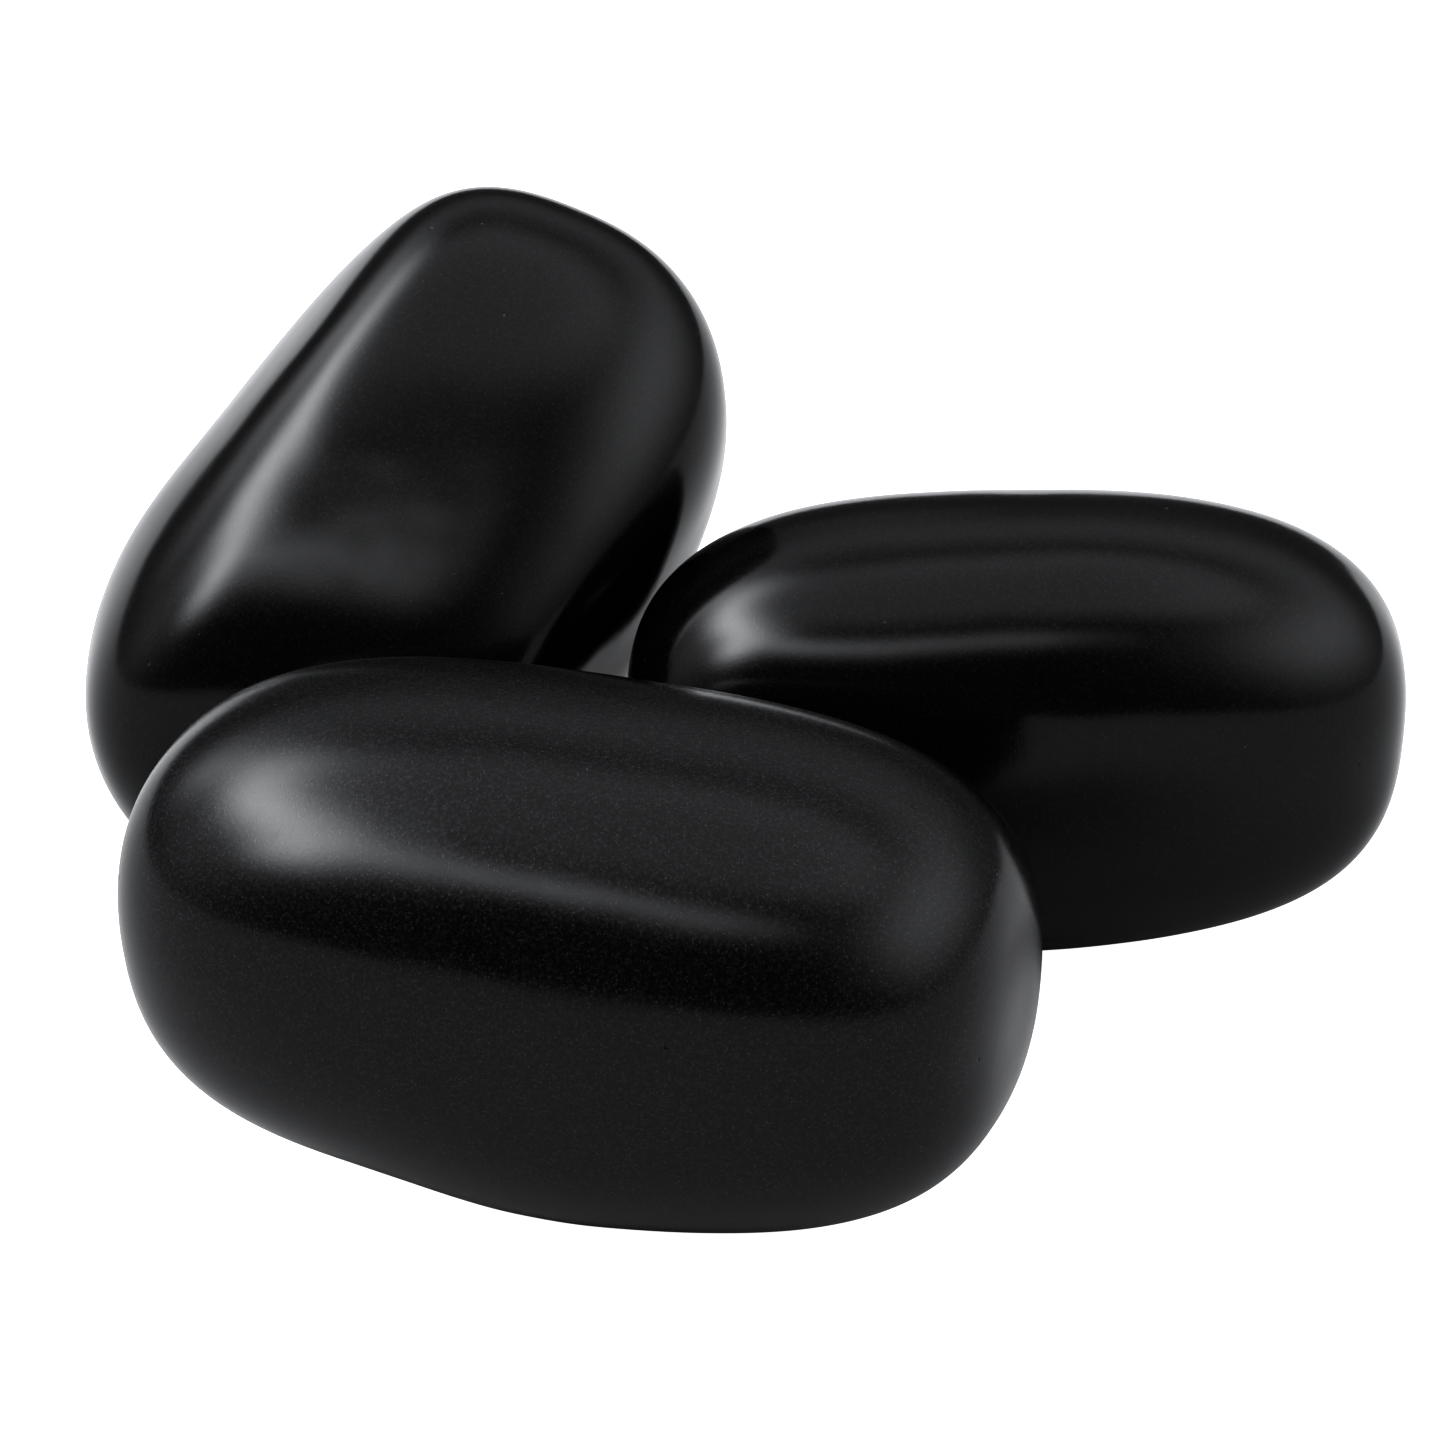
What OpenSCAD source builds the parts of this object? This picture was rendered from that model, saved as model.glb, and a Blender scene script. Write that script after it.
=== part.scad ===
// Three loose tumbled stones of black agate, polished all over, lying as a small group.
// Millimetres, +Z up. The origin is the middle of the group's footprint, on the surface
// that the stones rest on. -Y is the front of the group and +X its right-hand side.
//
// Every stone follows one rule. A rounded core has a length, a width and a thickness, and
// is turned to the way it lies. Worn faces cut in on it softly from chosen sides, and low
// swells and hollows make it uneven.

/* [Front stone] */
// Length of the front stone
front_length = 28.8; // [27:0.2:30]
// Depth of the front stone, front to back
front_depth = 16.6; // [15:0.2:17.4]
// Height of the front stone
front_height = 16.6; // [15:0.2:17.4]
// How square its two ends are, where 2 is an ellipsoid
front_ends = 3; // [2.4:0.1:4]
// How square its cross-section is, where 2 is an ellipse
front_section = 2.3; // [2:0.1:3]

/* [Right stone] */
// Length of the right stone
right_length = 25.6; // [25:0.2:27]
// Depth of the right stone, front to back
right_depth = 13; // [12:0.2:13.4]
// Height of the right stone
right_height = 14.8; // [13.8:0.2:15]
// How square its two ends are
right_ends = 2.8; // [2.4:0.1:2.9]
// How square its cross-section is
right_section = 2.5; // [2:0.1:2.8]

/* [Rear stone] */
// Length of the rear stone, which leans on the right stone
rear_length = 25.6; // [24.4:0.2:26]
// Width of its broad face
rear_width = 17.8; // [17:0.2:18.2]
// Thickness through its broad face
rear_thickness = 12.8; // [12:0.2:13]
// How square its two ends are
rear_ends = 2.5; // [2.3:0.1:2.8]
// How square its cross-section is
rear_section = 2.6; // [2:0.1:3]
// How steeply its long axis rises, in degrees
rear_rise = 46; // [44:1:48]

/* [Resting and spacing] */
// How deep the worn rest patch under each stone is
rest_depth = 0.2; // [0.1:0.05:0.4]

/* [Smoothness] */
// Facets around each stone
around = 60; // [36:4:72]
// Rings of facets from the bottom to the top of each stone
rings = 34; // [20:2:44]

/* [Hidden] */
STONE_BLACK = [0.06, 0.06, 0.065];
CUT_SIZE = 60;

// Where each stone's middle lies over the resting surface, before the group is centred.
// The right stone keeps its left end in place when its length changes.
FRONT_AT = [-4.5, -15.9];
RIGHT_AT = [right_length / 2 - 3.2, 1.7];
REAR_AT = [-10.3, 6.7];
// Turn of each stone from lying straight: roll about its length, fall of its right end
// and turn about the vertical
FRONT_TURN = [0, 0, -17];
RIGHT_TURN = [0, 0, 0];
REAR_TURN = [27, -rear_rise, 52];

// A worn face is [azimuth, elevation, distance from the middle]. Azimuth 0 looks to the
// front, 90 to the right and -90 to the left.
REAR_WORN = [
    [-94, 38, 7.7], // long left flank
    [60, -30, 7.4], // underside, towards the right stone
    [-8, -5, 9]     // low end, at the front
];
WORN_EDGE = 8; // how tightly a worn face turns into the core
// A swell is [azimuth, elevation, sharpness, share of the radius], and a hollow has a
// negative share.
FRONT_SWELLS = [[-65, 60, 4, 0.04], [-80, -40, 5, -0.12], [48, -40, 4, -0.07]];
RIGHT_SWELLS = [[75, -40, 5, -0.06], [40, 60, 5, 0.05]];
REAR_SWELLS = [
    [-105, -10, 6, 0.11], [-150, 65, 10, -0.03], [90, 60, 8, 0.03], [100, -35, 8, 0.08]
];

// A stone is [half sizes of the core, end squareness, section squareness, worn faces,
// swells, place, turn].
FRONT = [[front_length, front_depth, front_height] / 2, front_ends, front_section,
    [], FRONT_SWELLS, FRONT_AT, FRONT_TURN];
RIGHT = [[right_length, right_depth, right_height] / 2, right_ends, right_section,
    [], RIGHT_SWELLS, RIGHT_AT, RIGHT_TURN];
REAR = [[rear_length, rear_width, rear_thickness] / 2, rear_ends, rear_section,
    REAR_WORN, REAR_SWELLS, REAR_AT, REAR_TURN];

function towards(azimuth, elevation) =
    [sin(azimuth) * cos(elevation), -cos(azimuth) * cos(elevation), sin(elevation)];

function total(values) = len(values) == 0 ? 0 : values * [for (v = values) 1];

// Directions of a turned stone's length, width and thickness
function axes(turn) =
    let (cr = cos(turn[0]), sr = sin(turn[0]), cp = cos(turn[1]), sp = sin(turn[1]),
        cy = cos(turn[2]), sy = sin(turn[2]))
    [
        [cy * cp, sy * cp, -sp],
        [cy * sp * sr - sy * cr, sy * sp * sr + cy * cr, cp * sr],
        [cy * sp * cr + sy * sr, sy * sp * cr - cy * sr, cp * cr]
    ];

// One over the core's reach, along a direction given in the stone's own axes
function core_share(d, half, ends, section) =
    pow(
        pow(abs(d[0]) / half[0], ends)
        + pow(pow(abs(d[1]) / half[1], section) + pow(abs(d[2]) / half[2], section), ends / section),
        1 / ends
    );

// The same share once the worn faces have cut in on it
function worn_share(share, d, faces) =
    pow(
        pow(share, WORN_EDGE)
        + total([for (f = faces) pow(max(0, d * towards(f[0], f[1])) / f[2], WORN_EDGE)]),
        1 / WORN_EDGE
    );

function swelling(d, swells) =
    1 + total([for (s = swells) s[3] * exp(s[2] * (d * towards(s[0], s[1]) - 1))]);

// Distance from the stone's middle to its skin along the unit direction d
function reach(d, stone) =
    let (share = core_share(axes(stone[6]) * d, stone[0], stone[1], stone[2]))
    swelling(d, stone[4]) / worn_share(share, d, stone[3]);

// Skin of a stone about its own middle: one point at each pole and rings between them
function skin(stone) = concat(
    [[0, 0, -reach([0, 0, -1], stone)]],
    [for (ring = [1:rings - 1], step = [0:around - 1])
        let (d = towards(step * 360 / around, ring * 180 / rings - 90)) d * reach(d, stone)],
    [[0, 0, reach([0, 0, 1], stone)]]
);

function lowest(points) = min([for (p = points) p[2]]);

// Skin of a stone where it lies, with its rest patch's depth below the surface
function laid(stone) =
    let (points = skin(stone), drop = lowest(points) + rest_depth)
    [for (p = points) p + [stone[5][0], stone[5][1], -drop]];

SKIN_FACES = concat(
    [for (step = [0:around - 1]) [0, 1 + step, 1 + (step + 1) % around]],
    [for (ring = [0:rings - 3], step = [0:around - 1])
        let (a = 1 + ring * around + step, b = 1 + ring * around + (step + 1) % around)
        [a, a + around, b]],
    [for (ring = [0:rings - 3], step = [0:around - 1])
        let (a = 1 + ring * around + step, b = 1 + ring * around + (step + 1) % around)
        [b, a + around, b + around]],
    [for (step = [0:around - 1])
        let (last = 1 + (rings - 2) * around, top = 1 + (rings - 1) * around)
        [last + step, top, last + (step + 1) % around]]
);

FRONT_SKIN = laid(FRONT);
RIGHT_SKIN = laid(RIGHT);
REAR_SKIN = laid(REAR);
ALL_POINTS = concat(FRONT_SKIN, RIGHT_SKIN, REAR_SKIN);

function middle(axis) =
    let (places = [for (p = ALL_POINTS) p[axis]]) (min(places) + max(places)) / 2;

GROUP_MIDDLE = [middle(0), middle(1), 0];

// A stone's solid, cut flat where it rests
module stone(points) {
    translate(-GROUP_MIDDLE)
        difference() {
            polyhedron(points, SKIN_FACES);
            translate([-CUT_SIZE / 2, -CUT_SIZE / 2, -CUT_SIZE])
                cube(CUT_SIZE);
        }
}

// Long blunt bean that lies in front, its right end nearer the viewer
module front_stone() {
    color(STONE_BLACK) stone(FRONT_SKIN);
}

// Rounded block that lies behind it on the right
module right_stone() {
    color(STONE_BLACK) stone(RIGHT_SKIN);
}

// Thick pear-shaped stone at the rear left, standing on its low end and leaning over to
// the right and back
module rear_stone() {
    color(STONE_BLACK) stone(REAR_SKIN);
}

front_stone();
right_stone();
rear_stone();
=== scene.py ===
"""Three tumbled black agate stones lying in a close group on a pale table."""
import math

import bpy
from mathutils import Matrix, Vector


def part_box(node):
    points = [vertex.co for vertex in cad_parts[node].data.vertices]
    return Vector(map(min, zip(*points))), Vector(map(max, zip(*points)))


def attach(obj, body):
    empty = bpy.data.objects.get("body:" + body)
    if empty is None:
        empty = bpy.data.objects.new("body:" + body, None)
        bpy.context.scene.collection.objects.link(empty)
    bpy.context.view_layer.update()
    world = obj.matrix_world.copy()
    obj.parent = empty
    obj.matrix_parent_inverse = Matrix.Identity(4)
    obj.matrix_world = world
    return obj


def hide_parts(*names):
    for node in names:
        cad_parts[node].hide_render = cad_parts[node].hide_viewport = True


MM = 0.001
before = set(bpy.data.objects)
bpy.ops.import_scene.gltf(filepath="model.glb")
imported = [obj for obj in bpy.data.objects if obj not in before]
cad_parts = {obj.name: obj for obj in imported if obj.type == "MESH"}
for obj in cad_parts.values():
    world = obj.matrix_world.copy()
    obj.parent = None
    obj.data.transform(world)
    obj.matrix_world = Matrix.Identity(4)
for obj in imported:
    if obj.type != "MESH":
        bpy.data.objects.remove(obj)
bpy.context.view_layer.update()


# ---- Node trees written as expressions ----------------------------------------------

class Wire:
    """A node's output. An expression on wires and numbers adds its Math nodes."""

    def __init__(self, net, socket):
        self.net = net
        self.socket = socket

    def math(self, operation, *values):
        out = self.net.node("ShaderNodeMath", {"operation": operation}, dict(enumerate(values)))
        return out["Value"]

    def __add__(self, other): return self.math("ADD", self, other)
    def __radd__(self, other): return self.math("ADD", other, self)
    def __sub__(self, other): return self.math("SUBTRACT", self, other)
    def __rsub__(self, other): return self.math("SUBTRACT", other, self)
    def __mul__(self, other): return self.math("MULTIPLY", self, other)
    def __rmul__(self, other): return self.math("MULTIPLY", other, self)
    def __truediv__(self, other): return self.math("DIVIDE", self, other)
    def __rtruediv__(self, other): return self.math("DIVIDE", other, self)
    def __pow__(self, other): return self.math("POWER", self, other)
    def __abs__(self): return self.math("ABSOLUTE", self)

    def at_least(self, limit): return self.math("MAXIMUM", self, limit)
    def above(self, limit): return self.math("GREATER_THAN", self, limit)
    def exp(self): return self.math("EXPONENT", self)

    def ramp(self, low, high):
        """0 below low and 1 above high, with a soft step between."""
        settings = {"interpolation_type": "SMOOTHSTEP"}
        out = self.net.node("ShaderNodeMapRange", settings, {0: self, 1: low, 2: high})
        return out["Result"]

    def vector(self, operation, *values, result="Vector", **named):
        inputs = {**dict(enumerate((self, *values))), **named}
        return self.net.node("ShaderNodeVectorMath", {"operation": operation}, inputs)[result]

    def scaled(self, factor): return self.vector("SCALE", Scale=factor)
    def plus(self, other): return self.vector("ADD", other)
    def minus(self, other): return self.vector("SUBTRACT", other)
    def dot(self, other): return self.vector("DOT_PRODUCT", other, result="Value")

    def parts(self):
        out = self.net.node("ShaderNodeSeparateXYZ", {}, {0: self})
        return out["X"], out["Y"], out["Z"]


class Net:
    """A shader or geometry node tree that is being built."""

    def __init__(self, tree):
        self.tree = tree

    def node(self, kind, settings=None, inputs=None):
        """Adds a node: its settings first, then the values or wires of its sockets."""
        made = self.tree.nodes.new(kind)
        for name, value in (settings or {}).items():
            setattr(made, name, value)
        for name, value in (inputs or {}).items():
            if isinstance(value, Wire):
                self.tree.links.new(value.socket, made.inputs[name])
            else:
                made.inputs[name].default_value = value
        return {o.name: Wire(self, o) for o in made.outputs if o.enabled}

    def join(self, x, y, z):
        return self.node("ShaderNodeCombineXYZ", {}, {0: x, 1: y, 2: z})["Vector"]

    def noise(self, place, scale, detail):
        values = {"Vector": place, "Scale": scale, "Detail": detail}
        return self.node("ShaderNodeTexNoise", {}, values)["Fac"]

    def spots(self, place, scale, inner, outer):
        """Round spots with soft rims, and three values that differ from spot to spot."""
        cells = self.node("ShaderNodeTexVoronoi", {}, {"Vector": place, "Scale": scale})
        return 1 - cells["Distance"].ramp(inner, outer), cells["Color"].parts()


# ---- Shape of a tumbled stone ---------------------------------------------------------

GRID = 112          # squares along each side of the cube that is blown up to a stone
REST_DEPTH = 0.2    # mm, how deep the worn rest patch is
RIPPLE = 0.06       # mm, how uneven the skin is from its highest to its lowest place
RIPPLE_SCALE = 2.2  # noise cells along the radius of each stone
WORN_EDGE = 8       # how tightly a worn face turns into the core

# Azimuth 0 looks to the front, 90 to the right and -90 to the left. A worn face is azimuth,
# elevation and distance from the middle. A swell is azimuth, elevation, sharpness and share
# of the radius, and a hollow has a negative share. The turn is roll, fall of the right end
# and turn about the vertical.
STONES = {
    "front_stone": {
        "size": (28.8, 16.6, 16.6), "ends": 3.0, "section": 2.3, "turn": (0, 0, -17),
        "worn": [], "swells": [(-65, 60, 4, 0.04), (-80, -40, 5, -0.12), (48, -40, 4, -0.07)],
    },
    "right_stone": {
        "size": (25.6, 13.0, 14.8), "ends": 2.8, "section": 2.5, "turn": (0, 0, 0),
        "worn": [], "swells": [(75, -40, 5, -0.06), (40, 60, 5, 0.05)],
    },
    "rear_stone": {
        "size": (25.6, 17.8, 12.8), "ends": 2.5, "section": 2.6, "turn": (27, -46, 52),
        "worn": [(-94, 38, 7.7), (60, -30, 7.4), (-8, -5, 9)],
        "swells": [(-105, -10, 6, 0.11), (-150, 65, 10, -0.03),
                   (90, 60, 8, 0.03), (100, -35, 8, 0.08)],
    },
}


def towards(azimuth, elevation):
    a, e = math.radians(azimuth), math.radians(elevation)
    return (math.sin(a) * math.cos(e), -math.cos(a) * math.cos(e), math.sin(e))


def stone_tree(name, worn, swells):
    """Geometry nodes that blow a cube's grid up to a stone and wear it flat underneath."""
    tree = bpy.data.node_groups.new(name, "GeometryNodeTree")
    face = tree.interface
    for label, kind in (("Length", "Float"), ("Width", "Float"), ("Thickness", "Float"),
                        ("Ends", "Float"), ("Section", "Float"), ("Turn", "Vector"),
                        ("Unevenness", "Float"), ("Middle", "Vector"), ("Rest Depth", "Float"),
                        ("Grid", "Int")):
        face.new_socket(label, in_out="INPUT", socket_type=f"NodeSocket{kind}")
    face.new_socket("Stone", in_out="OUTPUT", socket_type="NodeSocketGeometry")
    net = Net(tree)
    given = net.node("NodeGroupInput")
    side = given["Grid"]
    grid = net.node("GeometryNodeMeshCube", {}, {
        "Size": (2, 2, 2), "Vertices X": side, "Vertices Y": side, "Vertices Z": side})["Mesh"]
    grid = net.node("GeometryNodeMergeByDistance", {}, {"Geometry": grid})["Geometry"]
    out = net.node("GeometryNodeInputPosition")["Position"].vector("NORMALIZE")
    own = net.node("ShaderNodeVectorRotate", {"rotation_type": "EULER_XYZ", "invert": True},
                   {"Vector": out, "Rotation": given["Turn"]})["Vector"]
    x, y, z = own.parts()
    section, ends = given["Section"], given["Ends"]
    across = (abs(y) * 2 / given["Width"]) ** section
    across = across + (abs(z) * 2 / given["Thickness"]) ** section
    share = ((abs(x) * 2 / given["Length"]) ** ends + across ** (ends / section)) ** (1 / ends)
    if worn:
        cut = share ** WORN_EDGE
        for azimuth, elevation, distance in worn:
            facing = out.dot(towards(azimuth, elevation)).at_least(0)
            cut = cut + (facing / (distance * MM)) ** WORN_EDGE
        share = cut ** (1 / WORN_EDGE)
    swelling = 1
    for azimuth, elevation, sharpness, height in swells:
        facing = out.dot(towards(azimuth, elevation))
        swelling = swelling + ((facing - 1) * sharpness).exp() * height
    ripple = net.noise(out, RIPPLE_SCALE, 1.0)
    skin = out.scaled(swelling / share + (ripple - 0.5) * given["Unevenness"])
    spread = net.node("GeometryNodeAttributeStatistic", {"data_type": "FLOAT_VECTOR"},
                      {"Geometry": grid, "Attribute": skin})
    low_x, low_y, low_z = spread["Min"].parts()
    high_x, high_y, _ = spread["Max"].parts()
    middle = net.join((low_x + high_x) / 2, (low_y + high_y) / 2, low_z + given["Rest Depth"])
    x, y, z = skin.minus(middle).plus(given["Middle"]).parts()
    laid = net.node("GeometryNodeSetPosition", {}, {
        "Geometry": grid, "Position": net.join(x, y, z.at_least(0))})["Geometry"]
    smooth = net.node("GeometryNodeSetShadeSmooth", {}, {"Geometry": laid})["Geometry"]
    whole = net.node("GeometryNodeRealizeInstances", {}, {"Geometry": smooth})["Geometry"]
    polished = net.node("GeometryNodeSetMaterial", {"name": "finish"}, {"Geometry": whole})
    net.node("NodeGroupOutput", {}, {0: polished["Geometry"]})
    return tree


def make_stone(node, material):
    """The finished mesh of one stone, set on the middle of its CAD solid."""
    shape = STONES[node]
    tree = stone_tree(node + "_shape", shape["worn"], shape["swells"])
    tree.nodes["finish"].inputs["Material"].default_value = material
    host = bpy.data.objects.new(node + "_host", bpy.data.meshes.new(node + "_host"))
    bpy.context.scene.collection.objects.link(host)
    worker = host.modifiers.new("shape", "NODES")
    worker.node_group = tree
    low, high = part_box(node)
    middle = (low + high) / 2
    length, width, thickness = (s * MM for s in shape["size"])
    values = {"Length": length, "Width": width, "Thickness": thickness, "Ends": shape["ends"],
              "Section": shape["section"], "Turn": [math.radians(t) for t in shape["turn"]],
              "Unevenness": RIPPLE * MM, "Middle": (middle.x, middle.y, 0),
              "Rest Depth": REST_DEPTH * MM, "Grid": GRID + 1}
    for item in tree.interface.items_tree:
        if item.in_out == "INPUT":
            worker[item.identifier] = values[item.name]
    bpy.context.view_layer.update()
    seen = host.evaluated_get(bpy.context.evaluated_depsgraph_get())
    stone = bpy.data.objects.new(node + "_polished", bpy.data.meshes.new_from_object(seen))
    bpy.data.objects.remove(host)
    bpy.context.scene.collection.objects.link(stone)
    return stone


# ---- Polished agate ---------------------------------------------------------------------

AGATE_IOR = 1.45
BLACK = 0.003       # how pale the clean stone is
BLUE = 1.08         # blue over red and green in the stone's tone

# Each finish is its slot, roughness, grain (how much the polish varies) and speckle (how
# pale the dust-like grains are).
FINISHES = {
    "front_stone": ("black_agate_grained", 0.15, 0.06, 0.03),
    "right_stone": ("black_agate", 0.11, 0.03, 0.014),
    "rear_stone": ("black_agate_pitted", 0.12, 0.03, 0.014),
}


def agate(name, roughness, grain, speckle):
    """Near-black chalcedony with a tumbled polish: fine grain, pale specks and tiny pits."""
    material = bpy.data.materials.new(name)
    material.use_nodes = True
    material.node_tree.nodes.clear()
    net = Net(material.node_tree)
    place = net.node("ShaderNodeTexCoord")["Object"].scaled(1 / MM)
    fine = net.noise(place, 9.0, 3.0)
    broad = net.noise(place, 0.35, 2.0)
    cloud = net.noise(place, 1.3, 2.0)

    # Pale dust-like grains lie close together, and larger specks stand alone
    grains, chance = net.spots(place, 11.0, 0.1, 0.45)
    dust = grains * chance[0].ramp(0.45, 1.0)
    dots, chance = net.spots(place, 1.3, 0.03, 0.07)
    speck = dots * chance[0].ramp(0.8, 1.0)

    # Pinprick pits that the polish has not reached
    holes, chance = net.spots(place, 0.55, 0.03, 0.06)
    pit = holes * chance[1].above(0.6)

    tone = fine.ramp(0.4, 0.7) * speckle * 0.3 + dust * speckle + speck * 0.05 + BLACK
    colour = net.node("ShaderNodeCombineColor", {}, {0: tone, 1: tone, 2: tone * BLUE})["Color"]
    cloudy = broad.ramp(0.3, 0.7) * 0.03 + cloud.ramp(0.55, 0.8) * 0.03
    dull = fine.ramp(0.3, 0.8) * grain + cloudy + speck * 0.2 + pit * 0.3 + roughness
    bump = net.node("ShaderNodeBump", {}, {
        "Strength": 0.15 + grain * 3, "Distance": 0.004 * MM,
        "Height": fine + dust * 0.6 + speck * 2 - pit * 12})["Normal"]
    polish = net.node("ShaderNodeBsdfPrincipled", {}, {
        "Base Color": colour, "Roughness": dull, "IOR": AGATE_IOR, "Normal": bump})["BSDF"]
    net.node("ShaderNodeOutputMaterial", {}, {"Surface": polish})
    return material


# ---- Table, light and camera --------------------------------------------------------------

COOL_WHITE = (0.97, 0.98, 1, 1)
TABLE_HALF = 3.0     # m
TABLE_LIFT = 0.6     # light that the table adds for the camera only, so it stays pale

# Soft glows around the stones: azimuth, elevation, sharpness and brightness
GLOWS = [
    # Large light on the left
    (-128, 48, 60, 2.7), (-110, 46, 65, 4.0), (-93, 46, 65, 4.8), (-76, 46, 65, 4.8),
    # Its lower corners, and what lies under it
    (-66, 36, 90, 4.8), (-132, 30, 40, 1.4), (-90, 26, 10, 0.8),
    # Its tail over the front
    (-58, 46, 80, 2.4), (-43, 45, 140, 1.8), (-31, 45, 140, 1.6),
    (-19, 45, 140, 1.5), (-7, 45, 140, 1.1), (5, 45, 140, 0.5),
    # Broad light on the right
    (50, 30, 12, 0.7), (75, 32, 9, 1.0), (105, 34, 9, 0.9),
]

VIEW_ELEVATION = 26                 # degrees
VIEW_AIM = (-0.6, 4.5, 8)           # mm
VIEW_DISTANCE = 0.26                # m
VIEW_LENS = 199.3                   # mm, on a sensor 36 mm wide


def pale_table():
    """A flat pale table that the stones reflect as a shaded surface."""
    corners = [(-TABLE_HALF, -TABLE_HALF, 0), (TABLE_HALF, -TABLE_HALF, 0),
               (TABLE_HALF, TABLE_HALF, 0), (-TABLE_HALF, TABLE_HALF, 0)]
    mesh = bpy.data.meshes.new("table")
    mesh.from_pydata(corners, [], [(0, 1, 2, 3)])
    table = bpy.data.objects.new("table", mesh)
    bpy.context.scene.collection.objects.link(table)
    paint = bpy.data.materials.new("pale_table")
    paint.use_nodes = True
    surface = paint.node_tree.nodes["Principled BSDF"]
    surface.inputs["Base Color"].default_value = (0.6, 0.6, 0.6, 1)
    surface.inputs["Roughness"].default_value = 0.9
    surface.inputs["Specular IOR Level"].default_value = 0.1
    surface.inputs["Emission Color"].default_value = COOL_WHITE
    lift = Net(paint.node_tree).node("ShaderNodeLightPath")["Is Camera Ray"] * TABLE_LIFT
    paint.node_tree.links.new(lift.socket, surface.inputs["Emission Strength"])
    mesh.materials.append(paint)


def studio():
    """Soft light all round, with a plain white backdrop where the camera sees past the table."""
    world = bpy.data.worlds.new("studio")
    bpy.context.scene.world = world
    world.use_nodes = True
    world.node_tree.nodes.clear()
    net = Net(world.node_tree)
    way = net.node("ShaderNodeTexCoord")["Generated"]
    _, back, up = way.parts()
    ceiling = up.ramp(0.78, 0.95) * 0.9
    rear_wall = back.ramp(0.2, 0.8) * up.ramp(0.2, 0.65) * 0.42
    glow = 0.1 + ceiling + rear_wall
    for azimuth, elevation, sharpness, brightness in GLOWS:
        facing = way.dot(towards(azimuth, elevation))
        glow = glow + ((facing - 1) * sharpness).exp() * brightness
    seen = net.node("ShaderNodeLightPath")["Is Camera Ray"]
    glow = glow * (1 - seen) + seen
    sky = net.node("ShaderNodeBackground", {}, {"Color": COOL_WHITE, "Strength": glow})
    net.node("ShaderNodeOutputWorld", {}, {"Surface": sky["Background"]})


def camera():
    elevation = math.radians(VIEW_ELEVATION)
    view = bpy.data.cameras.new("camera")
    view.lens = VIEW_LENS
    view.sensor_width = 36
    view.clip_start = 0.01
    holder = bpy.data.objects.new("camera", view)
    bpy.context.scene.collection.objects.link(holder)
    back = Vector((0, -math.cos(elevation), math.sin(elevation)))
    holder.location = Vector(VIEW_AIM) * MM + back * VIEW_DISTANCE
    holder.rotation_euler = (math.pi / 2 - elevation, 0, 0)
    bpy.context.scene.camera = holder
    bpy.context.scene.view_settings.view_transform = "Standard"
    bpy.context.scene.view_settings.look = "Very High Contrast"


camera()
pale_table()
studio()
for node, (slot, *finish) in FINISHES.items():
    stone = make_stone(node, agate(slot, *finish))
    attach(stone, "root")
    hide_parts(node)
